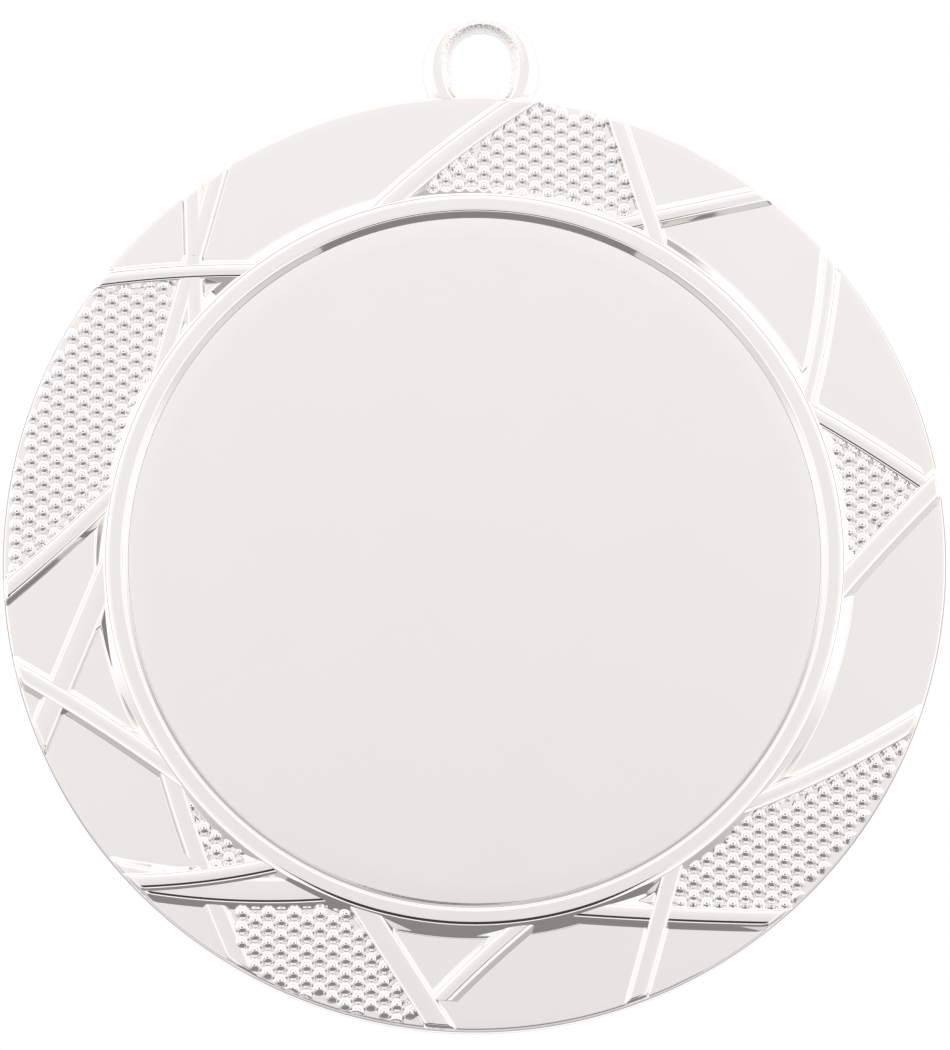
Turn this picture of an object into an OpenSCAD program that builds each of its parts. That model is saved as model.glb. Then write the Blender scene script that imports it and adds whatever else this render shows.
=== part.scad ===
// Award medal: a round relief disc with a cast-on hanging loop and a seat for a 50 mm emblem.
// Frame: +Z up through the loop, the face looks along -Y, origin at the centre of the loop's eye.

/* [Disc] */
// Diameter of the disc
disc_d = 70; // [68:0.5:72]
// Thickness of the disc without its relief
disc_t = 2.3; // [2.3:0.1:3]
// Radius of the rounding along both edges of the rim
rim_round = 0.4; // [0.2:0.05:0.6]

/* [Emblem seat] */
// Diameter of the opening inside the raised ring
seat_d = 51.2; // [51.1:0.1:51.6]
// Depth of the pocket under the centre disc
pocket_depth = 0.6; // [0.4:0.05:0.8]
// Diameter of the blank centre disc
blank_d = 51; // [50:0.1:51]
// Thickness of the blank centre disc
blank_t = 0.5; // [0.3:0.05:0.7]
// Rounding of the centre disc's front edge
blank_round = 0.15; // [0.05:0.05:0.25]
// Height of the upright land at the foot of the ring
land_h = 0.2; // [0.1:0.05:0.3]

/* [Raised ring] */
// Height of the ring above the face
ring_h = 0.72; // [0.6:0.02:0.9]
// Diameter where the ring's flat top starts
ring_top_inner_d = 52.4; // [52:0.1:53]
// Diameter where the ring's flat top ends
ring_top_outer_d = 53.7; // [53.4:0.1:54.2]
// Diameter of the ring's outer foot
ring_foot_d = 55.4; // [54.8:0.1:55.8]

/* [Ribs] */
// Height of the ribs that pass over their neighbours
rib_over_h = 0.62; // [0.5:0.02:0.7]
// Height of the ribs that pass under their neighbours
rib_under_h = 0.54; // [0.4:0.02:0.6]
// Height of the lowest rib, which lies against the foot of its neighbour
rib_low_h = 0.4; // [0.3:0.02:0.5]
// Run of the slope on each side of a rib
rib_slope = 0.54; // [0.3:0.02:0.6]
// Size of the small step that breaks each upper edge
rib_shoulder = 0.06; // [0.02:0.01:0.1]

/* [Beads] */
// Distance between neighbouring beads
bead_pitch = 1.1; // [1.05:0.01:1.2]
// Diameter of a bead at its foot
bead_d = 1.0; // [0.9:0.01:1.04]
// Height of a bead above the face
bead_h = 0.4; // [0.3:0.02:0.5]

/* [Hanging loop] */
// Outer diameter of the loop
loop_d = 8.84; // [8.8:0.02:9.6]
// Height of the loop's outer circle centre above the disc's centre
loop_z = 36.9; // [36.9:0.1:37.2]
// Diameter of the eye
eye_d = 4.5; // [4.2:0.1:4.7]
// Height of the eye's centre above the disc's centre
eye_z = 37.7; // [37.4:0.05:37.8]
// Width of the opening where the eye meets the rim
eye_foot_w = 3.1; // [2.4:0.1:3.2]
// Width of the slope round the outside of the loop
loop_outer_slope = 0.75; // [0.5:0.05:0.85]
// Width of the slope round the eye
loop_eye_slope = 0.5; // [0.3:0.05:0.6]

/* [Hidden] */
$fn = 96;
disc_r = disc_d / 2;
back_w = -1.5;
face_w = back_w + disc_t;
pocket_w = face_w - pocket_depth;
glue_t = pocket_depth - blank_t;
pocket_r = seat_d / 2;
ring_foot_r = ring_foot_d / 2;
rib_ring_r = ring_foot_r - 0.4;
rib_rim_r = disc_r - 0.2;
relief_r = disc_r - rim_round;
rib_overrun = 0.9;
bead_row = bead_pitch * cos(30);
bead_clear = 0.02;
// A bead is the top of a sphere that has this radius
bead_ball_r = ((bead_d / 2) ^ 2 + bead_h ^ 2) / (2 * bead_h);
eps = 0.01;

// Ribs run from the ring to the rim. Angles are clockwise from the loop, as on a clock face.
// Each row: angle where it starts, angle where it ends, foot width, bow, height, radius where it
// starts, radius where it ends. A positive bow bends the rib to its left, seen from the ring.
RIB_TOP = [345.7, 5.7, 2.1, 0.3, rib_over_h, rib_ring_r, rib_rim_r];
RIB_NOON = [29.2, 16.9, 1.5, 0, rib_over_h, rib_ring_r, rib_rim_r];
RIB_ONE = [22.8, 37.6, 1.7, 0, rib_under_h, rib_ring_r, rib_rim_r];
RIB_TEN_A = [309.8, 322.0, 1.5, 0, rib_under_h, rib_ring_r, rib_rim_r];
RIB_TEN_B = [301.3, 325.9, 1.5, 0, rib_under_h, rib_ring_r, rib_rim_r];
RIB_TEN_BAR = [321.2, 305.9, 1.7, -0.2, rib_over_h, rib_ring_r, rib_rim_r];
RIB_TWO = [63.7, 48.9, 1.65, -0.26, rib_over_h, rib_ring_r, rib_rim_r];
RIB_THREE_A = [66.0, 79.1, 1.8, 0.1, rib_under_h, rib_ring_r, 33.3];
RIB_THREE_B = [93.3, 80.0, 2.15, 0.1, rib_over_h, rib_ring_r, rib_rim_r];
RIB_FOUR = [130.9, 109.5, 1.85, -0.3, rib_over_h, rib_ring_r, rib_rim_r];
RIB_FIVE_BAR = [161.9, 139.2, 1.9, -0.1, rib_under_h, rib_ring_r, rib_rim_r];
RIB_FIVE_POST = [147.2, 159.4, 1.6, 0, rib_over_h, rib_ring_r, rib_rim_r];
RIB_SIX_A = [196.2, 183.3, 1.95, 0, rib_over_h, rib_ring_r, rib_rim_r];
RIB_SIX_B = [171.9, 183.6, 1.9, -0.1, rib_under_h, rib_ring_r, 32.7];
RIB_SEVEN_A = [212.6, 225.6, 1.85, 0.25, rib_over_h, rib_ring_r, rib_rim_r];
RIB_SEVEN_B = [205.2, 226.4, 2.7, 0.4, rib_low_h, rib_ring_r, rib_rim_r];
RIB_SEVEN_UPPER = [234.8, 220.7, 1.65, -0.08, rib_under_h, rib_ring_r, 30.39];
RIB_SEVEN_LOWER = [215.2, 208.4, 1.65, -0.03, rib_low_h / 2, 32.1, rib_rim_r];
RIB_EIGHT_BAR = [234.1, 255.3, 1.9, -0.17, rib_over_h, rib_ring_r, rib_rim_r];
RIB_EIGHT_POST = [265.9, 246.5, 1.95, 0, rib_under_h, rib_ring_r, rib_rim_r];
RIB_NINE = [278.8, 265.0, 1.9, 0.1, rib_over_h, rib_ring_r, rib_rim_r];

// Bead panels. Each row: one bead's centre, then the ribs that bound the panel, each with
// 1 when the panel is on the rib's left and -1 when it is on its right, seen from the ring.
PANEL_TOP = [[5.1, 31.9], [[RIB_TOP, -1], [RIB_NOON, 1]]];
PANEL_LEFT = [[-30.1, 10.8], [[RIB_TEN_BAR, 1], [RIB_TEN_B, 1], [RIB_NINE, -1]]];
PANEL_RIGHT = [[27.7, 6.8], [[RIB_THREE_A, -1], [RIB_THREE_B, 1]]];
PANEL_LOWER_RIGHT = [[20.2, -22.5], [[RIB_FOUR, -1], [RIB_FIVE_BAR, 1], [RIB_FIVE_POST, 1]]];
PANEL_BOTTOM = [[-11.9, -29.1], [[RIB_SEVEN_B, 1], [RIB_SEVEN_LOWER, 1], [RIB_SIX_A, -1]]];
PANEL_LOWER_LEFT = [[-17.7, -21.3], [[RIB_SEVEN_UPPER, 1], [RIB_SEVEN_A, -1]]];

function clock(r, a) = [r * sin(a), r * cos(a)];
function rib_start(rib) = clock(rib[5], rib[0]);
function rib_end(rib) = clock(rib[6], rib[1]);
// Signed distance of a point to the left of the straight line along a rib
function left_of(rib, pt) =
    let(a = rib_start(rib), d = rib_end(rib) - a, v = pt - a)
    (d[0] * v[1] - d[1] * v[0]) / norm(d);
// Part of the way along a rib at which a point lies, from 0 at the ring to 1 at its end
function along(rib, pt) =
    let(a = rib_start(rib), d = rib_end(rib) - a)
    (pt - a) * d / (d * d);
// Shift of a bowed rib's middle line at that part of the way
function bow_at(rib, s) = rib[3] * max(0, 1 - (2 * s - 1) ^ 2);
function clear_of(rib, side, pt) =
    side * (left_of(rib, pt) - bow_at(rib, along(rib, pt))) > rib[2] / 2 + bead_d / 2 + bead_clear;
function in_band(pt) =
    norm(pt) > ring_foot_r + bead_d / 2 + bead_clear && norm(pt) < relief_r - bead_d / 2 - bead_clear;
function in_panel(bounds, pt) =
    in_band(pt) && min([for (b = bounds) clear_of(b[0], b[1], pt) ? 1 : 0]) == 1;
function bead_place(seed, i, j) =
    [seed[0] + i * bead_row, seed[1] + (j + (i % 2 == 0 ? 0 : 0.5)) * bead_pitch];

// Stands the drawing of the face upright: its up becomes +Z and its front becomes -Y
module upright() {
    translate([0, 0, -eye_z])
        rotate([90, 0, 0])
            children();
}

// Planchet: the disc itself, with its rounded rim and the pocket for the centre disc
module rim_profile() {
    square_h = disc_t - 2 * rim_round;
    difference() {
        union() {
            translate([0, back_w]) square([relief_r, disc_t]);
            translate([0, back_w + rim_round]) square([disc_r, square_h]);
            translate([relief_r, back_w + rim_round]) circle(r = rim_round, $fn = 32);
            translate([relief_r, face_w - rim_round]) circle(r = rim_round, $fn = 32);
        }
        translate([-1, pocket_w]) square([pocket_r + 1, pocket_depth + 1]);
        translate([-2, back_w - 1]) square([2, disc_t + 2]);
    }
}

module planchet() {
    color([0.80, 0.79, 0.78])
        upright()
            rotate_extrude($fn = 180) rim_profile();
}

// Centre ring: the raised frame round the emblem seat
ring_outline = [
    [seat_d / 2, face_w],
    [seat_d / 2, face_w + land_h],
    [ring_top_inner_d / 2 - rib_shoulder, face_w + ring_h - rib_shoulder],
    [ring_top_inner_d / 2 + rib_shoulder, face_w + ring_h],
    [ring_top_outer_d / 2 - rib_shoulder, face_w + ring_h],
    [ring_top_outer_d / 2 + rib_shoulder, face_w + ring_h - rib_shoulder],
    [ring_foot_r, face_w]
];

module centre_ring() {
    color([0.84, 0.83, 0.82])
        upright()
            rotate_extrude($fn = 180) polygon(ring_outline);
}

// The ring with its middle filled: what the ribs stop at
module ring_block() {
    rotate_extrude($fn = 180)
        polygon([
            [0, back_w],
            [0, face_w + ring_h],
            [ring_top_outer_d / 2 - rib_shoulder, face_w + ring_h],
            [ring_top_outer_d / 2 + rib_shoulder, face_w + ring_h - rib_shoulder],
            [ring_foot_r, face_w],
            [ring_foot_r, back_w]
        ]);
}

// Suspension loop: bevelled on both faces and standing on the rim
module loop_profile() {
    w_slope = loop_outer_slope * 0.85;
    r = loop_d / 2;
    polygon([
        [0, back_w],
        [r - loop_outer_slope, back_w],
        [r, back_w + w_slope],
        [r, face_w - w_slope],
        [r - loop_outer_slope, face_w],
        [0, face_w]
    ]);
}

module eye_slope() {
    cylinder(h = loop_eye_slope + eps, r1 = eye_d / 2, r2 = eye_d / 2 + loop_eye_slope + eps);
}

module suspension_loop() {
    color([0.83, 0.82, 0.81])
        upright()
            difference() {
                translate([0, loop_z, 0]) rotate_extrude() loop_profile();
                translate([0, eye_z, back_w - 1]) cylinder(h = disc_t + 2, d = eye_d);
                translate([0, eye_z, face_w - loop_eye_slope]) eye_slope();
                translate([0, eye_z, back_w + loop_eye_slope]) mirror([0, 0, 1]) eye_slope();
                translate([-eye_foot_w / 2, disc_r - 1, back_w - 1])
                    cube([eye_foot_w, eye_z - disc_r + 0.2, disc_t + 2]);
                translate([0, 0, back_w - 1]) cylinder(h = disc_t + 2, r = disc_r, $fn = 180);
            }
}

// Centre disc: the plain polished blank in the pocket
module centre_disc() {
    r = blank_d / 2;
    w = pocket_w + glue_t;
    color([0.86, 0.85, 0.84])
        upright()
            rotate_extrude($fn = 180)
                intersection() {
                    union() {
                        translate([0, w]) square([r, blank_t - blank_round]);
                        translate([0, w]) square([r - blank_round, blank_t]);
                        translate([r - blank_round, w + blank_t - blank_round])
                            circle(r = blank_round, $fn = 32);
                    }
                    translate([0, w]) square([r, blank_t]);
                }
}

// Adhesive film: holds the centre disc in the pocket
module adhesive_film() {
    color([0.92, 0.90, 0.80])
        upright()
            translate([0, 0, pocket_w]) cylinder(h = glue_t, r = blank_d / 2 - 0.5, $fn = 180);
}

// Cross-section of a rib, half of it on each side of its middle line
function rib_outline(foot_w, h) =
    let(foot = foot_w / 2, top = foot - rib_slope, s = rib_shoulder)
    [[-foot, 0], [foot, 0], [top + s, h - s], [top - s, h], [-top + s, h], [-top - s, h - s]];

// A straight rib from a to b, with a little over at both ends
module straight_rib(a, b, foot_w, h) {
    run = norm(b - a) + 2 * rib_overrun;
    turn = atan2(b[1] - a[1], b[0] - a[0]);
    translate([a[0], a[1], face_w])
        rotate([0, 0, turn])
            translate([-rib_overrun, 0, 0])
                rotate([90, 0, 90])
                    linear_extrude(height = run) polygon(rib_outline(foot_w, h));
}

// A rib that bends to its left from a to b
module bent_rib(a, b, foot_w, h, bow) {
    run = norm(b - a);
    bend_r = (run ^ 2 / 4 + bow ^ 2) / (2 * bow);
    half_turn = asin(run / 2 / bend_r) + rib_overrun / bend_r * 180 / PI;
    turn = atan2(b[1] - a[1], b[0] - a[0]);
    middle = (a + b) / 2;
    centre = middle + (bow - bend_r) * [-sin(turn), cos(turn)];
    translate([centre[0], centre[1], face_w])
        rotate([0, 0, turn + 90 - half_turn])
            rotate_extrude(angle = 2 * half_turn, $fn = 720)
                translate([bend_r, 0]) polygon(rib_outline(foot_w, h));
}

module rib(r) {
    a = rib_start(r);
    b = rib_end(r);
    if (r[3] == 0) straight_rib(a, b, r[2], r[4]);
    if (r[3] > 0) bent_rib(a, b, r[2], r[4], r[3]);
    if (r[3] < 0) bent_rib(b, a, r[2], r[4], -r[3]);
}

// A group of ribs that touch, trimmed to the ring and to the rim
module rib_group(ribs) {
    color([0.82, 0.81, 0.80])
        upright()
            difference() {
                intersection() {
                    union() {
                        for (r = ribs) rib(r);
                    }
                    translate([0, 0, face_w]) cylinder(h = 2, r = relief_r, $fn = 180);
                }
                ring_block();
            }
}

module rib_top() { rib_group([RIB_TOP]); }
module rib_cross_upper_right() { rib_group([RIB_NOON, RIB_ONE]); }
module rib_upper_right() { rib_group([RIB_TWO]); }
module rib_fork_right() { rib_group([RIB_THREE_A, RIB_THREE_B]); }
module rib_lower_right() { rib_group([RIB_FOUR]); }
module rib_cross_lower_right() { rib_group([RIB_FIVE_BAR, RIB_FIVE_POST]); }
module rib_fork_bottom() { rib_group([RIB_SIX_A, RIB_SIX_B]); }
module rib_zigzag_lower_left() { rib_group([RIB_SEVEN_A, RIB_SEVEN_B, RIB_SEVEN_UPPER, RIB_SEVEN_LOWER]); }
module rib_cross_left() { rib_group([RIB_EIGHT_BAR, RIB_EIGHT_POST]); }
module rib_left() { rib_group([RIB_NINE]); }
module rib_cross_upper_left() { rib_group([RIB_TEN_A, RIB_TEN_B, RIB_TEN_BAR]); }

// One bead: the top of a ball that stands out of the face
module bead() {
    intersection() {
        translate([0, 0, bead_h - bead_ball_r]) sphere(r = bead_ball_r, $fn = 24);
        translate([-bead_d, -bead_d, 0]) cube([2 * bead_d, 2 * bead_d, bead_d]);
    }
}

// Whole beads that clear the ring, the rim and the ribs round their panel
module bead_panel(panel) {
    seed = panel[0];
    bounds = panel[1];
    span = 18;
    color([0.78, 0.77, 0.76])
        upright()
            for (i = [-span : span])
                for (j = [-span : span]) {
                    pt = bead_place(seed, i, j);
                    if (in_panel(bounds, pt)) translate([pt[0], pt[1], face_w]) bead();
                }
}

module bead_panel_top() { bead_panel(PANEL_TOP); }
module bead_panel_left() { bead_panel(PANEL_LEFT); }
module bead_panel_right() { bead_panel(PANEL_RIGHT); }
module bead_panel_lower_right() { bead_panel(PANEL_LOWER_RIGHT); }
module bead_panel_bottom() { bead_panel(PANEL_BOTTOM); }
module bead_panel_lower_left() { bead_panel(PANEL_LOWER_LEFT); }

planchet();
centre_ring();
suspension_loop();
centre_disc();
adhesive_film();
rib_top();
rib_cross_upper_right();
rib_upper_right();
rib_fork_right();
rib_lower_right();
rib_cross_lower_right();
rib_fork_bottom();
rib_zigzag_lower_left();
rib_cross_left();
rib_left();
rib_cross_upper_left();
bead_panel_top();
bead_panel_left();
bead_panel_right();
bead_panel_lower_right();
bead_panel_bottom();
bead_panel_lower_left();
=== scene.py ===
"""Looks of the relief medal: cast planchet, ring, ribs, beads, hanging loop and fitted centre disc.

Face drawing: u to the right, v up from the disc's centre, h out of the plain field, all in millimetres.
place() turns it into the row frame, in metres.
"""

import math
import random

import bpy
from mathutils import Matrix, Vector


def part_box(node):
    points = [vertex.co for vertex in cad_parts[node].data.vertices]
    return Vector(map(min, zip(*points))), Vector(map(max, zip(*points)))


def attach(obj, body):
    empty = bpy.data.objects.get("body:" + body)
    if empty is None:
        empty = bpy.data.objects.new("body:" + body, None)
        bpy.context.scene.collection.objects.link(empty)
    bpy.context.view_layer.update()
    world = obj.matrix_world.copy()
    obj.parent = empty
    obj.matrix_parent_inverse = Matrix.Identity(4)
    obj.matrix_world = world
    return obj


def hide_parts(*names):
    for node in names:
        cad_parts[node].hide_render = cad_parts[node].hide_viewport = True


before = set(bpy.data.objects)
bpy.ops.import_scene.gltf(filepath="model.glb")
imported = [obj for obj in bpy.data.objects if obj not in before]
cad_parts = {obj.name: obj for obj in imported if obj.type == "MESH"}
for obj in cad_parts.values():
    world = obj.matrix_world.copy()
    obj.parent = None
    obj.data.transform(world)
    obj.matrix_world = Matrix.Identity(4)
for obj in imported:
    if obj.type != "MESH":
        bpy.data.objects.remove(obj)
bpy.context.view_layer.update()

MM = 0.001
SEED = 7

# Sizes from the frame
planchet_low, planchet_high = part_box("planchet")
ring_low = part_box("centre_ring")[0]
blank_low, blank_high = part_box("centre_disc")
loop_low, loop_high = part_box("suspension_loop")
CENTRE_Z = (planchet_low.z + planchet_high.z) / 2
FACE_Y = planchet_low.y
DISC_R = (planchet_high.x - planchet_low.x) / 2 / MM
DISC_T = (planchet_high.y - planchet_low.y) / MM
RING_H = (planchet_low.y - ring_low.y) / MM
BLANK_TOP = (planchet_low.y - blank_low.y) / MM
BLANK_T = (blank_high.y - blank_low.y) / MM
LOOP_R = (loop_high.x - loop_low.x) / 2 / MM
EYE_V = -CENTRE_Z / MM

# Small step that keeps touching surfaces from lying in one plane
HAIR = 0.01

# Disc: radius of its seat, rounding of its back rim, and the small break at its front rim's top edge
# with the angle at which the break ends
SEAT_R = 25.6
RIM_ROUND = 0.34
RIM_BREAK = 0.12
RIM_BREAK_END = 28
# Points of the front bevel: in from the edge, back from the face
RIM_BEVEL = ((0.09, 0.40), (0.02, 0.60), (0.0, 0.85))
# Thickness of the film under the centre disc
FILM_T = 0.1
# The sliver left open under the centre disc: clock angle of its middle, half its spread, its width
SLIVER_MIDDLE = 185.5
SLIVER_HALF = 13.5
SLIVER = 0.07

# Relief
RING_TOP_IN = 26.2
RING_TOP_OUT = 26.85
RING_FOOT = 28.25
RIB_RING_R = 27.3
RIB_RIM_R = DISC_R - 0.2
RIB_RUN = 0.84
POST_RUN = 0.52
RIB_CROWN = 0.008
# How much further than its drawn width a rib's foot spreads on each side, and half its least flat top
RIB_SPREAD = 0.12
RIB_TOP_MIN = 0.15
# How deep relief reaches into the disc, and how deep at the rim
ROOT_DEPTH = 0.3
RIM_ROOT_DEPTH = 0.4
# Length of a rib's mesh steps, and the finer steps before the rim as distances from its end
RIB_STEP = 0.25
NEAR_RIM = (0.6, 0.45, 0.34, 0.26, 0.19, 0.13, 0.08, 0.04, 0.015, 0)
# Places across a flat top, as shares of half its width
FLAT_SHARES = [i / 4 for i in range(-3, 4)]
OVER_H = 0.62
UNDER_H = 0.54
LOW_H = 0.4
BEAD_PITCH = 1.1
BEAD_R = 0.58
BEAD_H = 0.42
# Unevenness of the beads, their mesh, and how far the lattice is searched, in rows
BEAD_R_SPREAD = (0.985, 1.015)
BEAD_H_SPREAD = (0.97, 1.03)
BEAD_ROWS = 10
BEAD_ROUND = 24
LATTICE = 18
# How far bead centres keep from the ring's flat and from the ribs' end at the rim, and how far they may
# lie within a rib's foot
BEAD_RING_GAP = 0.35
BEAD_RIM_GAP = 0.25
BEAD_RIB_OVERLAP = 0.2
# Beads at the rim: how far inside it they start to come down, over what distance, how far inside it what
# lies beyond is drawn in, how deep that reaches, and the height of a middle that is past the start
BEAD_CUT = 0.3
BEAD_FALL = 0.25
BEAD_DRAWN_IN = 0.05
BEAD_ROOT = 0.25
BEAD_CUT_TOP = 0.2

# Loop's eye: its radius, how deep its lower arch reaches and how square that arch is
EYE_R = 2.25
EYE_DEEP = 2.95
EYE_SQUARENESS = 4
# Loop: angle from its top to each foot, mesh steps along it, shares of the band's width that its bevels
# take, the bevels' depths as shares of their widths, and the short flat that keeps an edge crisp
LOOP_FOOT = 146
LOOP_TURNS = 150
INNER_SHARE = 0.30
OUTER_SHARE = 0.37
INNER_DEPTH = 0.9
OUTER_DEPTH = 0.8
LOOP_CRISP = 0.05
# How far the loop's feet sink below the disc's faces
FOOT_SINK = 0.1

# Tilt across a relief's side, as (share of its run, degrees): a gentle shoulder, a steep middle whose
# tilt follows from the height, and a hollow foot
RIB_SHOULDER = ((0.0, 0), (0.04, 5), (0.22, 11), (0.36, 18), (0.42, 24))
RIB_STEEP = (0.50, 0.78)
RIB_HOLLOW = ((0.90, 18), (1.0, 0))
RING_SHOULDER = ((0.0, 0), (0.04, 5), (0.18, 11), (0.30, 22))
RING_STEEP = (0.34, 0.78)
RING_HOLLOW = ((0.86, 18), (1.0, 0))
WALL_SHOULDER = ((0.0, 0), (0.08, 8), (0.25, 13), (0.40, 25))
WALL_STEEP = (0.50, 0.94)
WALL_HOLLOW = ((1.0, 20),)

# Ribs: angles at both ends, foot width, bow, height, radius where it starts and radius where it ends
RIBS = {
    "top": (345.7, 5.7, 2.1, 0.3, OVER_H, RIB_RING_R, RIB_RIM_R),
    "noon": (29.2, 16.9, 1.5, 0, OVER_H, RIB_RING_R, RIB_RIM_R),
    "one": (22.8, 37.6, 1.7, 0, UNDER_H, RIB_RING_R, RIB_RIM_R),
    "ten_a": (309.8, 322.0, 1.5, 0, UNDER_H, RIB_RING_R, RIB_RIM_R),
    "ten_b": (301.3, 325.9, 1.5, 0, UNDER_H, RIB_RING_R, RIB_RIM_R),
    "ten_bar": (321.2, 305.9, 1.7, -0.2, OVER_H, RIB_RING_R, RIB_RIM_R),
    "two": (63.7, 48.9, 1.65, -0.26, OVER_H, RIB_RING_R, RIB_RIM_R),
    "three_a": (66.0, 79.9, 1.8, 0.1, UNDER_H, RIB_RING_R, 33.8),
    "three_b": (93.3, 80.0, 2.15, 0.1, OVER_H, RIB_RING_R, RIB_RIM_R),
    "four": (130.9, 109.5, 1.85, -0.3, OVER_H, RIB_RING_R, RIB_RIM_R),
    "five_bar": (161.9, 139.2, 1.9, -0.1, UNDER_H, RIB_RING_R, RIB_RIM_R),
    "five_post": (147.2, 159.4, 1.6, 0, OVER_H, RIB_RING_R, RIB_RIM_R),
    "six_a": (196.2, 183.3, 1.95, 0, OVER_H, RIB_RING_R, RIB_RIM_R),
    "six_b": (171.9, 183.6, 1.9, -0.1, UNDER_H, RIB_RING_R, 32.7),
    "seven_a": (212.6, 225.6, 1.85, 0.25, OVER_H, RIB_RING_R, RIB_RIM_R),
    "seven_b": (205.2, 226.4, 2.7, 0.4, LOW_H, RIB_RING_R, RIB_RIM_R),
    "seven_upper": (234.8, 220.2, 1.65, -0.08, UNDER_H, RIB_RING_R, 30.5),
    "seven_lower": (216.6, 208.4, 1.65, -0.03, LOW_H / 2, 31.63, RIB_RIM_R),
    "eight_bar": (234.1, 255.3, 1.9, -0.17, OVER_H, RIB_RING_R, RIB_RIM_R),
    "eight_post": (265.9, 246.5, 1.95, 0, UNDER_H, RIB_RING_R, RIB_RIM_R),
    "nine": (278.8, 265.0, 1.9, 0.1, OVER_H, RIB_RING_R, RIB_RIM_R),
}
RIB_NODES = {
    "rib_top": ("top",),
    "rib_cross_upper_right": ("noon", "one"),
    "rib_upper_right": ("two",),
    "rib_fork_right": ("three_a", "three_b"),
    "rib_lower_right": ("four",),
    "rib_cross_lower_right": ("five_bar", "five_post"),
    "rib_fork_bottom": ("six_a", "six_b"),
    "rib_zigzag_lower_left": ("seven_a", "seven_b", "seven_upper", "seven_lower"),
    "rib_cross_left": ("eight_bar", "eight_post"),
    "rib_left": ("nine",),
    "rib_cross_upper_left": ("ten_a", "ten_b", "ten_bar"),
}
# Ribs with narrower and steeper sides
POSTS = ("noon", "ten_a", "ten_b", "five_post", "six_a", "seven_upper", "seven_lower", "eight_post")
# Bead panels as in the CAD: one bead's centre, then the bounding ribs, with 1 where the panel is on
# a rib's left and -1 where it is on its right
PANELS = {
    "bead_panel_top": ((5.1, 31.9), (("top", -1), ("noon", 1))),
    "bead_panel_left": ((-30.1, 10.8), (("ten_bar", 1), ("ten_b", 1), ("nine", -1))),
    "bead_panel_right": ((27.7, 6.8), (("three_a", -1), ("three_b", 1))),
    "bead_panel_lower_right": ((20.2, -22.5), (("four", -1), ("five_bar", 1), ("five_post", 1))),
    "bead_panel_bottom": ((-11.9, -29.1), (("seven_b", 1), ("seven_lower", 1), ("six_a", -1))),
    "bead_panel_lower_left": ((-17.7, -21.3), (("seven_upper", 1), ("seven_a", -1))),
}


def place(u, v, h):
    return Vector((u * MM, FACE_Y - h * MM, CENTRE_Z + v * MM))


def clock(r, angle):
    a = math.radians(angle)
    return Vector((r * math.sin(a), r * math.cos(a)))


# ---------------------------------------------------------------- mesh tools


def make_object(name, verts, faces, material):
    mesh = bpy.data.meshes.new(name)
    mesh.from_pydata([place(*p) for p in verts], [], faces)
    mesh.polygons.foreach_set("use_smooth", [True] * len(faces))
    mesh.materials.append(material)
    mesh.update()
    obj = bpy.data.objects.new(name, mesh)
    bpy.context.scene.collection.objects.link(obj)
    return obj


def add_grid(verts, faces, rows, wrap_rows=False, wrap_columns=False):
    """Adds a sheet of quads through rows of points, all of the same length."""
    start = len(verts)
    n = len(rows[0])
    for row in rows:
        verts.extend(row)
    for i in range(len(rows) if wrap_rows else len(rows) - 1):
        a, b = start + i * n, start + (i + 1) % len(rows) * n
        for j in range(n if wrap_columns else n - 1):
            k = (j + 1) % n
            faces.append((a + j, b + j, b + k, a + k))


def lathe(name, profile, material, segments=360):
    """Turns a profile of (radius, height) points round the disc's axis."""
    rows = []
    for i in range(segments):
        a = 2 * math.pi * i / segments
        rows.append([(r * math.sin(a), r * math.cos(a), h) for r, h in profile])
    verts, faces = [], []
    add_grid(verts, faces, rows, wrap_rows=True)
    return make_object(name, verts, faces, material)


def arc(cx, cy, r, start, end, steps=10):
    """Points on a circle from one angle to another, in degrees."""
    angles = [math.radians(start + (end - start) * i / steps) for i in range(steps + 1)]
    return [(cx + r * math.cos(a), cy + r * math.sin(a)) for a in angles]


def slope_curve(run, drop, shoulder, steep, hollow, steps=44):
    """A relief's side from (0, drop) to (run, 0), as steep in its middle as the drop asks for."""

    def walk(steepest):
        knots = [*shoulder, (steep[0], steepest), (steep[1], steepest), *hollow]
        points = [(0.0, drop)]
        for i in range(steps):
            share = (i + 0.5) / steps
            after = next(k for k, knot in enumerate(knots) if knot[0] > share)
            (x0, t0), (x1, t1) = knots[after - 1], knots[after]
            tilt = t0 + (t1 - t0) * (share - x0) / (x1 - x0)
            x, h = points[-1]
            points.append((x + run / steps, h - math.tan(math.radians(tilt)) * run / steps))
        return points

    low, high = 5.0, 86.0
    for _ in range(40):
        middle = (low + high) / 2
        low, high = (middle, high) if walk(middle)[-1][1] > 0 else (low, middle)
    return walk(middle)


# ---------------------------------------------------------------- materials


def node(tree, kind, **settings):
    made = tree.nodes.new(kind)
    for key, value in settings.items():
        setattr(made, key, value)
    return made


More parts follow.
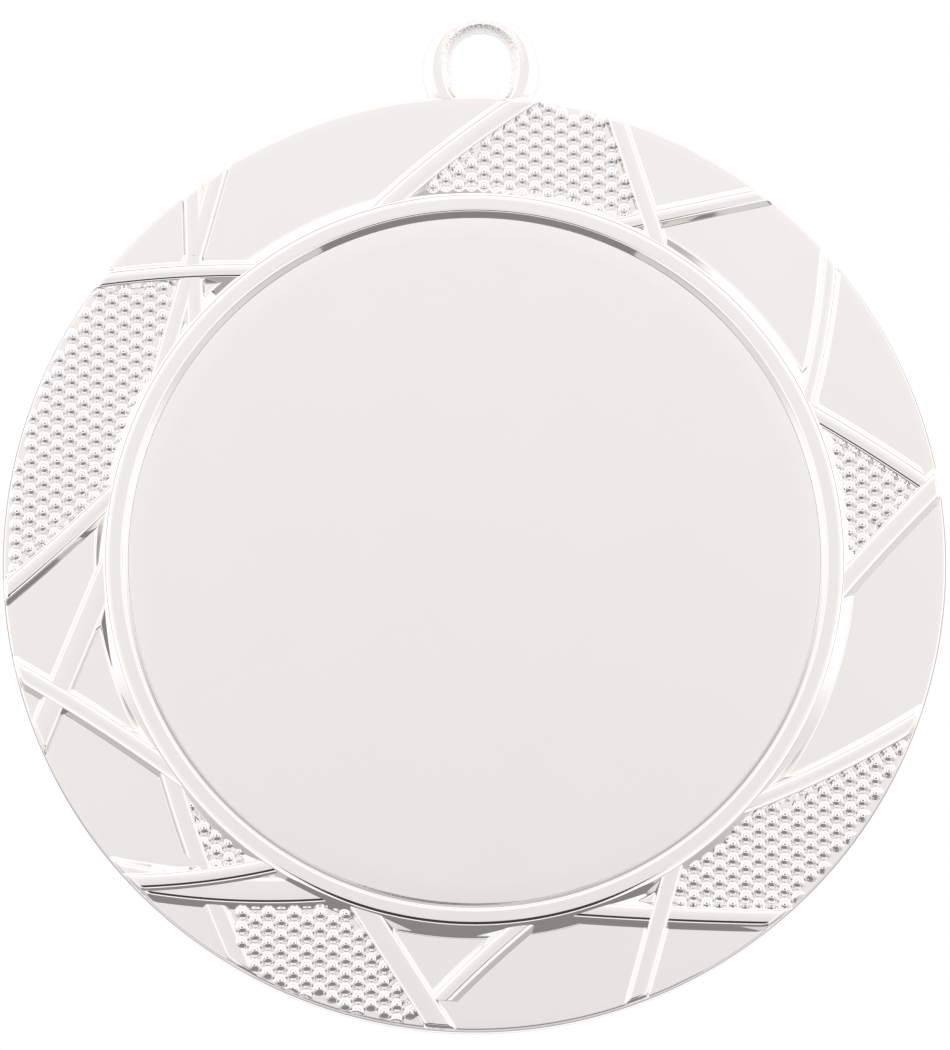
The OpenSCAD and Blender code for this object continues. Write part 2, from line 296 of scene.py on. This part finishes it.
def silver(name, tint, polish, wave_height, wave_size, grain_scale):
    """Polished silver: faint waves in the surface, a little uneven polish and fine wiping marks."""
    cloud_size, dullest, wipe_angle, wipe_stretch, uneven = 6, 0.985, 28, 0.06, 2.2
    material = bpy.data.materials.new(name)
    material.use_nodes = True
    tree = material.node_tree
    shader = tree.nodes["Principled BSDF"]
    shader.inputs["Metallic"].default_value = 1.0
    where = node(tree, "ShaderNodeTexCoord")

    cloud = node(tree, "ShaderNodeTexNoise")
    cloud.inputs["Scale"].default_value = 1 / (cloud_size * MM)
    cloud.inputs["Detail"].default_value = 3
    tree.links.new(where.outputs["Object"], cloud.inputs["Vector"])
    tone = node(tree, "ShaderNodeMix", data_type="RGBA")
    tone.inputs["A"].default_value = (*[c * dullest for c in tint], 1)
    tone.inputs["B"].default_value = (*tint, 1)
    tree.links.new(cloud.outputs["Fac"], tone.inputs["Factor"])
    tree.links.new(tone.outputs["Result"], shader.inputs["Base Color"])

    stretch = node(tree, "ShaderNodeMapping")
    stretch.inputs["Rotation"].default_value = (0, math.radians(wipe_angle), 0)
    stretch.inputs["Scale"].default_value = (1, 1, wipe_stretch)
    marks = node(tree, "ShaderNodeTexNoise")
    marks.inputs["Scale"].default_value = grain_scale / MM
    marks.inputs["Detail"].default_value = 2
    tree.links.new(where.outputs["Object"], stretch.inputs["Vector"])
    tree.links.new(stretch.outputs["Vector"], marks.inputs["Vector"])
    rough = node(tree, "ShaderNodeMapRange")
    rough.inputs["From Min"].default_value = 0.35
    rough.inputs["From Max"].default_value = 0.75
    rough.inputs["To Min"].default_value = polish
    rough.inputs["To Max"].default_value = polish * uneven
    tree.links.new(marks.outputs["Fac"], rough.inputs["Value"])
    tree.links.new(rough.outputs["Result"], shader.inputs["Roughness"])

    waves = node(tree, "ShaderNodeTexNoise")
    waves.inputs["Scale"].default_value = 1 / (wave_size * MM)
    waves.inputs["Detail"].default_value = 1
    tree.links.new(where.outputs["Object"], waves.inputs["Vector"])
    bump = node(tree, "ShaderNodeBump")
    bump.inputs["Strength"].default_value = 1.0
    bump.inputs["Distance"].default_value = wave_height * MM
    tree.links.new(waves.outputs["Fac"], bump.inputs["Height"])
    tree.links.new(bump.outputs["Normal"], shader.inputs["Normal"])
    return material


def film_material():
    """Double-sided adhesive film: milky, slightly yellow, with small trapped bubbles."""
    material = bpy.data.materials.new("adhesive")
    material.use_nodes = True
    tree = material.node_tree
    shader = tree.nodes["Principled BSDF"]
    shader.inputs["Roughness"].default_value = 0.45
    where = node(tree, "ShaderNodeTexCoord")
    bubbles = node(tree, "ShaderNodeTexVoronoi")
    bubbles.inputs["Scale"].default_value = 1 / (1.5 * MM)
    tree.links.new(where.outputs["Object"], bubbles.inputs["Vector"])
    tone = node(tree, "ShaderNodeMix", data_type="RGBA")
    tone.inputs["A"].default_value = (0.93, 0.91, 0.82, 1)
    tone.inputs["B"].default_value = (0.86, 0.83, 0.70, 1)
    tree.links.new(bubbles.outputs["Distance"], tone.inputs["Factor"])
    tree.links.new(tone.outputs["Result"], shader.inputs["Base Color"])
    return material


def roughen_eye(material):
    """Leaves the cast skin round the loop's eye unpolished: pitted, fading out away from the eye."""
    pitted_to, smooth_from, pit_size, pit_depth = 2.5, 3.2, 0.22, 0.12
    tree = material.node_tree
    shader = tree.nodes["Principled BSDF"]
    where = node(tree, "ShaderNodeTexCoord")
    split = node(tree, "ShaderNodeSeparateXYZ")
    tree.links.new(where.outputs["Object"], split.inputs["Vector"])
    flat = node(tree, "ShaderNodeCombineXYZ")
    tree.links.new(split.outputs["X"], flat.inputs["X"])
    tree.links.new(split.outputs["Z"], flat.inputs["Z"])
    reach = node(tree, "ShaderNodeVectorMath", operation="LENGTH")
    tree.links.new(flat.outputs["Vector"], reach.inputs[0])
    share = node(tree, "ShaderNodeMapRange")
    share.inputs["From Min"].default_value = pitted_to * MM
    share.inputs["From Max"].default_value = smooth_from * MM
    share.inputs["To Min"].default_value = 1
    share.inputs["To Max"].default_value = 0
    tree.links.new(reach.outputs["Value"], share.inputs["Value"])
    pits = node(tree, "ShaderNodeTexNoise")
    pits.inputs["Scale"].default_value = 1 / (pit_size * MM)
    pits.inputs["Detail"].default_value = 2
    tree.links.new(where.outputs["Object"], pits.inputs["Vector"])
    depth = node(tree, "ShaderNodeMath", operation="MULTIPLY")
    tree.links.new(pits.outputs["Fac"], depth.inputs[0])
    tree.links.new(share.outputs["Result"], depth.inputs[1])
    smooth = next(n for n in tree.nodes if n.type == "BUMP")
    bump = node(tree, "ShaderNodeBump")
    bump.inputs["Strength"].default_value = 1.0
    bump.inputs["Distance"].default_value = pit_depth * MM
    tree.links.new(depth.outputs["Value"], bump.inputs["Height"])
    tree.links.new(smooth.outputs["Normal"], bump.inputs["Normal"])
    tree.links.new(bump.outputs["Normal"], shader.inputs["Normal"])
    return material


SILVER_TINT = (0.977, 0.948, 0.932)
cast_silver = silver("cast_silver", SILVER_TINT, 0.03, 0.003, 2.5, 6)
loop_silver = roughen_eye(silver("loop_silver", SILVER_TINT, 0.04, 0.005, 1.2, 6))
bead_silver = silver("bead_silver", (0.970, 0.957, 0.951), 0.035, 0.004, 0.9, 8)
blank_silver = silver("blank_silver", (0.972, 0.944, 0.930), 0.025, 0.002, 5.0, 9)
adhesive = film_material()


def finish_piece(obj, slot, *nodes):
    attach(obj, "root")
    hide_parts(*nodes)
    return obj


# ---------------------------------------------------------------- planchet and centre disc


def build_planchet():
    """The disc: plain field, bevelled front rim, rounded back rim, plain back, centre disc's pocket."""
    r = RIM_ROUND
    floor = BLANK_TOP - BLANK_T - FILM_T
    field_steps, back_steps = 14, 12
    field = [(SEAT_R + (DISC_R - r - SEAT_R) * i / field_steps, 0) for i in range(field_steps + 1)]
    back = [((DISC_R - r) * (1 - i / back_steps), -DISC_T) for i in range(back_steps + 1)]
    profile = [(0, floor), (SEAT_R - HAIR, floor), (SEAT_R, floor + HAIR), (SEAT_R, -HAIR)]
    profile += field
    profile += arc(DISC_R - r, -RIM_BREAK, RIM_BREAK, 90, RIM_BREAK_END)[1:]
    profile += [(DISC_R - inset, -depth) for inset, depth in RIM_BEVEL]
    profile += arc(DISC_R - r, r - DISC_T, r, 0, -90, 14)
    profile += back[1:]
    return finish_piece(lathe("planchet_body", profile, cast_silver), "cast_silver", "planchet")


def build_centre_disc():
    """The blank: flat and polished, filling its seat except for a sliver along the bottom."""
    r = SEAT_R - HAIR
    edge = 0.03
    bottom = BLANK_TOP - BLANK_T
    top_steps = 16
    top = [(r - edge) * i / top_steps for i in range(top_steps + 1)]
    profile = [(x, BLANK_TOP) for x in top]
    profile += arc(r - edge, BLANK_TOP - edge, edge, 90, 0)[1:]
    profile += [(r, bottom), (0, bottom)]
    disc = lathe("centre_disc_blank", profile, blank_silver)
    for vertex in disc.data.vertices:
        u, v = vertex.co.x / MM, (vertex.co.z - CENTRE_Z) / MM
        if math.hypot(u, v) > r - 2 * edge:
            aside = (math.degrees(math.atan2(u, v)) % 360 - SLIVER_MIDDLE) / SLIVER_HALF
            vertex.co.z += SLIVER * MM * max(0, 1 - aside**2) ** 0.5
    return finish_piece(disc, "blank_silver", "centre_disc")


def build_ring():
    """The raised ring: a soft shoulder on both sides of its flat top, and a wide hollow foot outside."""
    inner = slope_curve(RING_TOP_IN - SEAT_R, RING_H, WALL_SHOULDER, WALL_STEEP, WALL_HOLLOW)
    outer = slope_curve(RING_FOOT - RING_TOP_OUT, RING_H + HAIR, RING_SHOULDER, RING_STEEP, RING_HOLLOW)
    middle = (RING_TOP_IN + RING_TOP_OUT) / 2
    half = (RING_TOP_OUT - RING_TOP_IN) / 2
    flat = [middle + half * share for share in FLAT_SHARES]
    profile = [(SEAT_R, -ROOT_DEPTH)]
    profile += [(RING_TOP_IN - x, h) for x, h in reversed(inner)]
    profile += [(r, RING_H) for r in flat]
    profile += [(RING_TOP_OUT + x, h - HAIR) for x, h in outer]
    return finish_piece(lathe("centre_ring_cast", profile, cast_silver), "cast_silver", "centre_ring")


# ---------------------------------------------------------------- ribs


class Rib:
    """One rib's middle line on the face, from the ring to the rim."""

    def __init__(self, spec):
        at_start, at_stop, self.foot, self.bow, self.height, self.start, self.stop = spec
        self.a = clock(self.start, at_start)
        self.b = clock(self.stop, at_stop)
        self.run = self.b - self.a
        self.length = self.run.length
        self.left = Vector((-self.run.y, self.run.x)) / self.length

    def at(self, q, offset):
        """The point at share q of the way, offset to the left of the middle line."""
        point = self.a + self.run * q + self.left * self.bow * (1 - (2 * q - 1) ** 2)
        along = self.run - self.left * self.bow * 4 * (2 * q - 1)
        return point + Vector((-along.y, along.x)).normalized() * offset

    def reach(self, offset, radius, q, step):
        """The share at which a line beside the middle one meets a radius, or stops nearing it."""
        now = self.at(q, offset).length
        while (now - radius) * step < 0:
            following = self.at(q + step, offset).length
            if (following - now) * step < 0:
                break
            q, now = q + step, following
        return q

    def beside(self, point):
        """Distance of a point to the left of the bowed middle line."""
        way = point - self.a
        q = way.dot(self.run) / self.length**2
        return way.dot(self.left) - self.bow * max(0, 1 - (2 * q - 1) ** 2)


def rim_drop(r, rounding=0.35):
    """How far a relief's top has come down where it rounds off at the rim."""
    x = max(0, r - (RIB_RIM_R - rounding))
    return rounding - math.sqrt(max(0, rounding**2 - x**2))


def rib_section(foot, height, slope_run):
    """(offset, height) across a rib, from its right foot to its left one."""
    half = foot / 2 + RIB_SPREAD
    run = min(slope_run, half - RIB_TOP_MIN)
    top = half - run
    side = slope_curve(run, height + HAIR, RIB_SHOULDER, RIB_STEEP, RIB_HOLLOW)
    flat = [top * share for share in FLAT_SHARES]
    right = [(-top - x, h - HAIR) for x, h in reversed(side)]
    left = [(top + x, h - HAIR) for x, h in side]
    section = right + [(t, height) for t in flat] + left
    return [(t, h + RIB_CROWN * max(0, 1 - (t / top) ** 2)) for t, h in section]


def add_rib(verts, faces, spec, slope_run):
    rib = Rib(spec)
    # A rib that leaves the ring starts under the middle of the ring's flat top
    begin = (RING_TOP_IN + RING_TOP_OUT) / 2 if rib.start == RIB_RING_R else rib.start
    search_step = 0.002
    columns = []
    for offset, height in rib_section(rib.foot, rib.height, slope_run):
        start = rib.reach(offset, begin, 0.4, -search_step)
        end = rib.reach(offset, rib.stop, 0.6, search_step)
        length = (end - start) * rib.length
        body = int(0.5 + rib.length / RIB_STEP)
        shares = [(1 - NEAR_RIM[0] / length) * i / body for i in range(body)]
        shares += [1 - d / length for d in NEAR_RIM]
        points = [rib.at(start + (end - start) * s, offset) for s in shares]
        column = [(p.x, p.y, height - rim_drop(p.length)) for p in points]
        columns.append([(*column[0][:2], -ROOT_DEPTH), *column, (*column[-1][:2], -RIM_ROOT_DEPTH)])
    add_grid(verts, faces, columns)


def build_ribs():
    for name, members in RIB_NODES.items():
        verts, faces = [], []
        for member in members:
            add_rib(verts, faces, RIBS[member], POST_RUN if member in POSTS else RIB_RUN)
        finish_piece(make_object(name + "_cast", verts, faces, cast_silver), "cast_silver", name)


# ---------------------------------------------------------------- beads


def bead_centres(seed, bounds):
    """Places on the bead lattice whose middles lie in the panel."""
    row = BEAD_PITCH * math.cos(math.radians(30))
    ribs = [(Rib(RIBS[name]), side) for name, side in bounds]
    found = []
    for i in range(-LATTICE, LATTICE + 1):
        for j in range(-LATTICE, LATTICE + 1):
            p = Vector((seed[0] + i * row, seed[1] + (j + 0.5 * (i % 2)) * BEAD_PITCH))
            if not RING_TOP_OUT + BEAD_RING_GAP < p.length < RIB_RIM_R - BEAD_RIM_GAP:
                continue
            if all(side * rib.beside(p) > rib.foot / 2 - BEAD_RIB_OVERLAP for rib, side in ribs):
                found.append(p)
    return found


def add_bead(verts, faces, centre, chance):
    """A domed bead, slightly uneven, cut away where it passes the rim."""
    radius = BEAD_R * chance.uniform(*BEAD_R_SPREAD)
    height = BEAD_H * chance.uniform(*BEAD_H_SPREAD)
    ball = (radius**2 + height**2) / (2 * height)
    edge = math.asin(radius / ball)
    rows = []
    for i in range(BEAD_ROWS):
        tilt = edge * (1 - i / (BEAD_ROWS - 0.5))
        r, h = ball * math.sin(tilt), ball * math.cos(tilt) - ball + height
        ring = []
        for j in range(BEAD_ROUND):
            a = 2 * math.pi * (j + 0.5 * (i % 2)) / BEAD_ROUND
            p = centre + Vector((r * math.cos(a), r * math.sin(a)))
            past = p.length - (RIB_RIM_R - BEAD_CUT)
            top = h if past <= 0 else min(h, BEAD_H * (1 - past / BEAD_FALL))
            if past > BEAD_FALL:
                p *= (RIB_RIM_R - BEAD_DRAWN_IN) / p.length
                top = -BEAD_ROOT
            ring.append((p.x, p.y, top - HAIR))
        rows.append(ring)
    add_grid(verts, faces, rows, wrap_columns=True)
    crown = len(verts) - BEAD_ROUND
    whole = centre.length < RIB_RIM_R - BEAD_CUT
    verts.append((centre.x, centre.y, height - HAIR if whole else BEAD_CUT_TOP))
    for j in range(BEAD_ROUND):
        faces.append((crown + j, len(verts) - 1, crown + (j + 1) % BEAD_ROUND))


def build_beads():
    chance = random.Random(SEED)
    for name, (seed, bounds) in PANELS.items():
        verts, faces = [], []
        for centre in bead_centres(seed, bounds):
            add_bead(verts, faces, centre, chance)
        finish_piece(make_object(name + "_cast", verts, faces, bead_silver), "bead_silver", name)


# ---------------------------------------------------------------- hanging loop


def soften(points, times):
    """Cuts the corners of a closed outline, again and again, until they are round."""
    for _ in range(times):
        cut = []
        for i, (x, y) in enumerate(points):
            nx, ny = points[(i + 1) % len(points)]
            cut.append((x * 0.75 + nx * 0.25, y * 0.75 + ny * 0.25))
            cut.append((x * 0.25 + nx * 0.75, y * 0.25 + ny * 0.75))
        points = cut
    return points


def ray_to_circle(origin, way, centre, r):
    """Distance along a ray at which it leaves a circle."""
    to = origin - centre
    half = to.dot(way)
    return -half + math.sqrt(half**2 - to.length_squared + r**2)


def eye_reach(origin, way, centre):
    """Distance along a ray at which it meets the eye: round above, a softened arch below."""
    if way.y >= 0:
        return ray_to_circle(origin, way, centre, EYE_R)
    low, high = 0.5, 4.0
    for _ in range(30):
        d = (low + high) / 2
        p = origin + way * d - centre
        share = abs(p.x / EYE_R) ** EYE_SQUARENESS + abs(p.y / EYE_DEEP) ** EYE_SQUARENESS
        inside = p.y > 0 or share < 1
        low, high = (d, high) if inside else (low, d)
    return low


def build_loop():
    """The loop: a bevelled band whose feet stand in the rim."""
    outer_centre = Vector((0, loop_high.z / MM + EYE_V - LOOP_R))
    eye_centre = Vector((0, EYE_V))
    origin = Vector((0, EYE_V - 0.25))
    rows = []
    for i in range(LOOP_TURNS + 1):
        a = math.radians(-LOOP_FOOT + 2 * LOOP_FOOT * i / LOOP_TURNS)
        way = Vector((math.sin(a), math.cos(a)))
        near = eye_reach(origin, way, eye_centre)
        far = ray_to_circle(origin, way, outer_centre, LOOP_R)
        wide = far - near
        inner, outer = wide * INNER_SHARE, wide * OUTER_SHARE
        outline = [
            (0.0, -inner * INNER_DEPTH),
            (inner, 0),
            (inner + LOOP_CRISP, 0),
            (wide - outer - LOOP_CRISP, 0),
            (wide - outer, 0),
            (wide, -outer * OUTER_DEPTH),
            (wide, -DISC_T + outer * OUTER_DEPTH),
            (wide - outer, -DISC_T),
            (inner, -DISC_T),
            (0.0, -DISC_T + inner * INNER_DEPTH),
        ]
        row = []
        for x, h in soften(outline, 3):
            p = origin + way * (near + x)
            # The feet sink towards the mid-plane, so that they don't share a plane with the disc's faces
            sunk = min(FOOT_SINK, max(0, DISC_R - RIM_ROUND - 0.02 - p.length))
            row.append((p.x, p.y, h - sunk if h > -DISC_T / 2 else h + sunk))
        rows.append(row)
    verts, faces = [], []
    add_grid(verts, faces, rows, wrap_columns=True)
    return finish_piece(make_object("loop_cast", verts, faces, loop_silver), "cast_silver", "suspension_loop")


# ---------------------------------------------------------------- studio


def painted_reflection_glow(name, tone):
    """A sheet that glows with one even tone though it is no lamp: a painted dark reflection for the silver to
    mirror.
    """
    material = bpy.data.materials.new(name)
    material.use_nodes = True
    tree = material.node_tree
    tree.nodes.clear()
    light = node(tree, "ShaderNodeEmission")
    light.inputs["Color"].default_value = (tone, tone, tone, 1)
    out = node(tree, "ShaderNodeOutputMaterial")
    tree.links.new(light.outputs["Emission"], out.inputs["Surface"])
    return material


def studio_sheet(name, corners, material):
    mesh = bpy.data.meshes.new(name)
    mesh.from_pydata(corners, [], [(0, 1, 2, 3)])
    mesh.materials.append(material)
    obj = bpy.data.objects.new(name, mesh)
    bpy.context.scene.collection.objects.link(obj)
    return obj


def only_mirrored(obj):
    """Seen only in the silver's reflections."""
    obj.visible_camera = False
    obj.visible_diffuse = False
    obj.visible_shadow = False
    obj.visible_transmission = False


def build_studio():
    floor_material = bpy.data.materials.new("studio_floor")
    floor_material.use_nodes = True
    tree = floor_material.node_tree
    shader = tree.nodes["Principled BSDF"]
    shader.inputs["Roughness"].default_value = 0.9
    grain = node(tree, "ShaderNodeTexNoise")
    grain.inputs["Scale"].default_value = 40
    tone = node(tree, "ShaderNodeMix", data_type="RGBA")
    tone.inputs["A"].default_value = (0.86, 0.86, 0.86, 1)
    tone.inputs["B"].default_value = (0.90, 0.90, 0.90, 1)
    tree.links.new(grain.outputs["Fac"], tone.inputs["Factor"])
    tree.links.new(tone.outputs["Result"], shader.inputs["Base Color"])
    wide, z = 3.0, -0.32
    floor = studio_sheet(
        "studio_floor",
        [(-wide, -wide, z), (wide, -wide, z), (wide, wide, z), (-wide, wide, z)],
        floor_material,
    )
    floor.visible_glossy = False

    # Painted shade: a dim glowing sheet under the medal, seen only in reflections, which its down-facing
    # slopes mirror as dark bands
    half, front, rear, z = 0.053, -0.108, 0.012, -0.122
    only_mirrored(
        studio_sheet(
            "painted_shade_card",
            [(-half, front, z), (half, front, z), (half, rear, z), (-half, rear, z)],
            painted_reflection_glow("painted_shade_glow", 0.25),
        )
    )
    # Painted dark reflection: a nearly black glowing sheet below the camera, seen only in reflections, which
    # gives the dark line along down-facing shoulders
    y = -0.42
    half, top, bottom = 0.085, CENTRE_Z - 0.075, CENTRE_Z - 0.18
    only_mirrored(
        studio_sheet(
            "painted_camera_reflection",
            [(-half, y, bottom), (half, y, bottom), (half, y, top), (-half, y, top)],
            painted_reflection_glow("painted_camera_glow", 0.05),
        )
    )


def build_world():
    """Surround that the silver mirrors, plain white to the camera.

    It is dimmer straight in front and behind than all round. A grey seam lies 38 to 51 degrees off that
    axis, weaker above and below. It is also dimmer low down, and low to both sides, where the face would
    otherwise be white when seen from the side.
    """
    world = bpy.data.worlds.new("studio")
    bpy.context.scene.world = world
    world.use_nodes = True
    tree = world.node_tree
    tree.nodes.clear()
    way = node(tree, "ShaderNodeTexCoord")
    split = node(tree, "ShaderNodeSeparateXYZ")
    tree.links.new(way.outputs["Generated"], split.inputs["Vector"])

    def maths(operation, a, b=None):
        made = node(tree, "ShaderNodeMath", operation=operation)
        for socket, value in zip(made.inputs, (a, b)):
            if hasattr(value, "is_output"):
                tree.links.new(value, socket)
            elif value is not None:
                socket.default_value = value
        return made.outputs[0]

    def ramp(value, low, high, out_low, out_high, course="SMOOTHSTEP"):
        made = node(tree, "ShaderNodeMapRange", interpolation_type=course)
        for key, number in (("From Min", low), ("From Max", high), ("To Min", out_low), ("To Max", out_high)):
            made.inputs[key].default_value = number
        tree.links.new(value, made.inputs["Value"])
        return made.outputs["Result"]

    off_axis = maths("ARCCOSINE", maths("ABSOLUTE", split.outputs["Y"]))
    axis_level, round_level, round_lift = 0.79, 1.06, 0.1
    near = maths(
        "ADD",
        ramp(off_axis, 0, math.radians(29), axis_level, round_level, "LINEAR"),
        ramp(off_axis, math.radians(18), math.radians(34), 0, round_lift),
    )
    sideways = maths("SUBTRACT", maths("ABSOLUTE", split.outputs["X"]), maths("ABSOLUTE", split.outputs["Z"]))
    seam = maths(
        "MULTIPLY",
        ramp(off_axis, math.radians(38), math.radians(42), 0, 1),
        ramp(off_axis, math.radians(46), math.radians(51), 1, 0),
    )
    seam_depth, low_level = 0.6, 0.6
    seam = maths("MULTIPLY", seam, ramp(sideways, -0.95, -0.5, 0, seam_depth))
    low_down = ramp(split.outputs["Z"], -0.75, -0.45, low_level, 1)
    aside = ramp(maths("ABSOLUTE", split.outputs["X"]), 0.35, 0.7, 0, 1)
    below = ramp(split.outputs["Z"], -0.35, -0.1, 1, 0)
    side_dimming = 0.3
    dimmed = maths("MULTIPLY", maths("MULTIPLY", aside, below), side_dimming)
    low_sides = maths("SUBTRACT", 1.0, dimmed)
    level = maths("MULTIPLY", maths("SUBTRACT", near, seam), maths("MULTIPLY", low_down, low_sides))

    mirrored = node(tree, "ShaderNodeBackground")
    mirrored.inputs["Color"].default_value = (1, 1, 1, 1)
    tree.links.new(level, mirrored.inputs["Strength"])
    seen = node(tree, "ShaderNodeBackground")
    seen.inputs["Color"].default_value = (1, 1, 1, 1)
    path = node(tree, "ShaderNodeLightPath")
    mix = node(tree, "ShaderNodeMixShader")
    out = node(tree, "ShaderNodeOutputWorld")
    tree.links.new(path.outputs["Is Camera Ray"], mix.inputs["Fac"])
    tree.links.new(mirrored.outputs["Background"], mix.inputs[1])
    tree.links.new(seen.outputs["Background"], mix.inputs[2])
    tree.links.new(mix.outputs["Shader"], out.inputs["Surface"])


def build_camera():
    """Straight on and a little from below, about 400 mm away, turned so that the loop leans to the right."""
    distance, below, lean, aim_above = 0.4, math.radians(7.65), math.radians(0.75), 0.00246
    middle = Vector((0, FACE_Y, CENTRE_Z))
    spot = middle + distance * Vector((0, -math.cos(below), -math.sin(below)))
    # Sensor width, and the width of the medal's plane that the picture shows, in millimetres
    sensor, seen_width = 36, 70.2
    data = bpy.data.cameras.new("camera")
    data.sensor_fit = "HORIZONTAL"
    data.sensor_width = sensor
    data.lens = sensor * distance * 1000 / seen_width
    data.clip_start = 0.01
    camera = bpy.data.objects.new("camera", data)
    bpy.context.scene.collection.objects.link(camera)
    gaze = middle + Vector((0, 0, aim_above)) - spot
    turned = gaze.to_track_quat("-Z", "Y") @ Matrix.Rotation(lean, 3, "Z").to_quaternion()
    camera.location = spot
    camera.rotation_mode = "QUATERNION"
    camera.rotation_quaternion = turned
    bpy.context.scene.camera = camera


build_planchet()
build_centre_disc()
build_ring()
build_ribs()
build_beads()
build_loop()

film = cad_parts["adhesive_film"]
film.data.materials.clear()
film.data.materials.append(adhesive)

build_world()
build_studio()
build_camera()
bpy.context.scene.view_settings.view_transform = "Standard"
